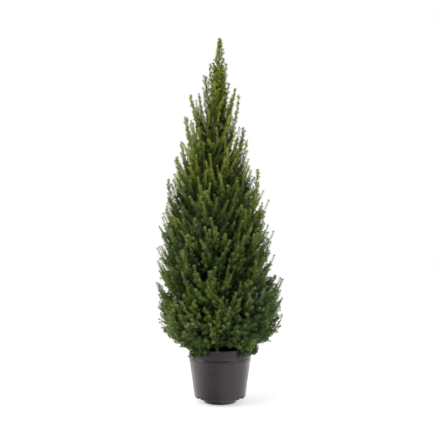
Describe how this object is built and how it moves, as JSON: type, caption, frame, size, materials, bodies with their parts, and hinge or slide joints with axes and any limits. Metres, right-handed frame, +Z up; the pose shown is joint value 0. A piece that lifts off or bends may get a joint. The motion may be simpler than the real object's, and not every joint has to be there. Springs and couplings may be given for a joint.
{
  "type": "potted alberta spruce",
  "caption": "Slender cone-shaped dwarf spruce with dense short needles, loose upright spires at the top and branches down to the rim of a plain dark grey nursery pot.",
  "frame": {"origin": "centre of the pot's flat underside, on the surface it stands on", "axes": "+Z up the trunk, -Y the front of the plant, +X to its right as seen from the front"},
  "size_m": [0.4782, 0.4759, 1.405],
  "materials": {
    "pot": "moulded dark grey polypropylene with a soft sheen",
    "compost": "moist peat compost, crumbly and dark brown",
    "bark": "grey-brown scaly conifer bark, dry and matt",
    "foliage": "short dense needles, fresh green tips over darker green"
  },
  "bodies": {
    "root": {"compost": "compost", "leader_mass": "foliage", "lower_bough_1": "bark", "lower_bough_2": "bark", "lower_bough_3": "bark", "lower_bough_4": "bark", "lower_bough_5": "bark", "lower_bough_6": "bark", "lower_mass_1": "foliage", "lower_mass_2": "foliage", "lower_mass_3": "foliage", "lower_mass_4": "foliage", "lower_mass_5": "foliage", "lower_mass_6": "foliage", "middle_bough_1": "bark", "middle_bough_2": "bark", "middle_bough_3": "bark", "middle_bough_4": "bark", "middle_bough_5": "bark", "middle_bough_6": "bark", "middle_mass_1": "foliage", "middle_mass_2": "foliage", "middle_mass_3": "foliage", "middle_mass_4": "foliage", "middle_mass_5": "foliage", "middle_mass_6": "foliage", "pot": "pot", "skirt_bough_1": "bark", "skirt_bough_2": "bark", "skirt_bough_3": "bark", "skirt_bough_4": "bark", "skirt_bough_5": "bark", "skirt_bough_6": "bark", "skirt_mass_1": "foliage", "skirt_mass_2": "foliage", "skirt_mass_3": "foliage", "skirt_mass_4": "foliage", "skirt_mass_5": "foliage", "skirt_mass_6": "foliage", "spire_bough_1": "bark", "spire_bough_2": "bark", "spire_bough_3": "bark", "spire_bough_4": "bark", "spire_mass_1": "foliage", "spire_mass_2": "foliage", "spire_mass_3": "foliage", "spire_mass_4": "foliage", "trunk": "bark", "upper_bough_1": "bark", "upper_bough_2": "bark", "upper_bough_3": "bark", "upper_bough_4": "bark", "upper_bough_5": "bark", "upper_mass_1": "foliage", "upper_mass_2": "foliage", "upper_mass_3": "foliage", "upper_mass_4": "foliage", "upper_mass_5": "foliage"}
  },
  "joints": []
}
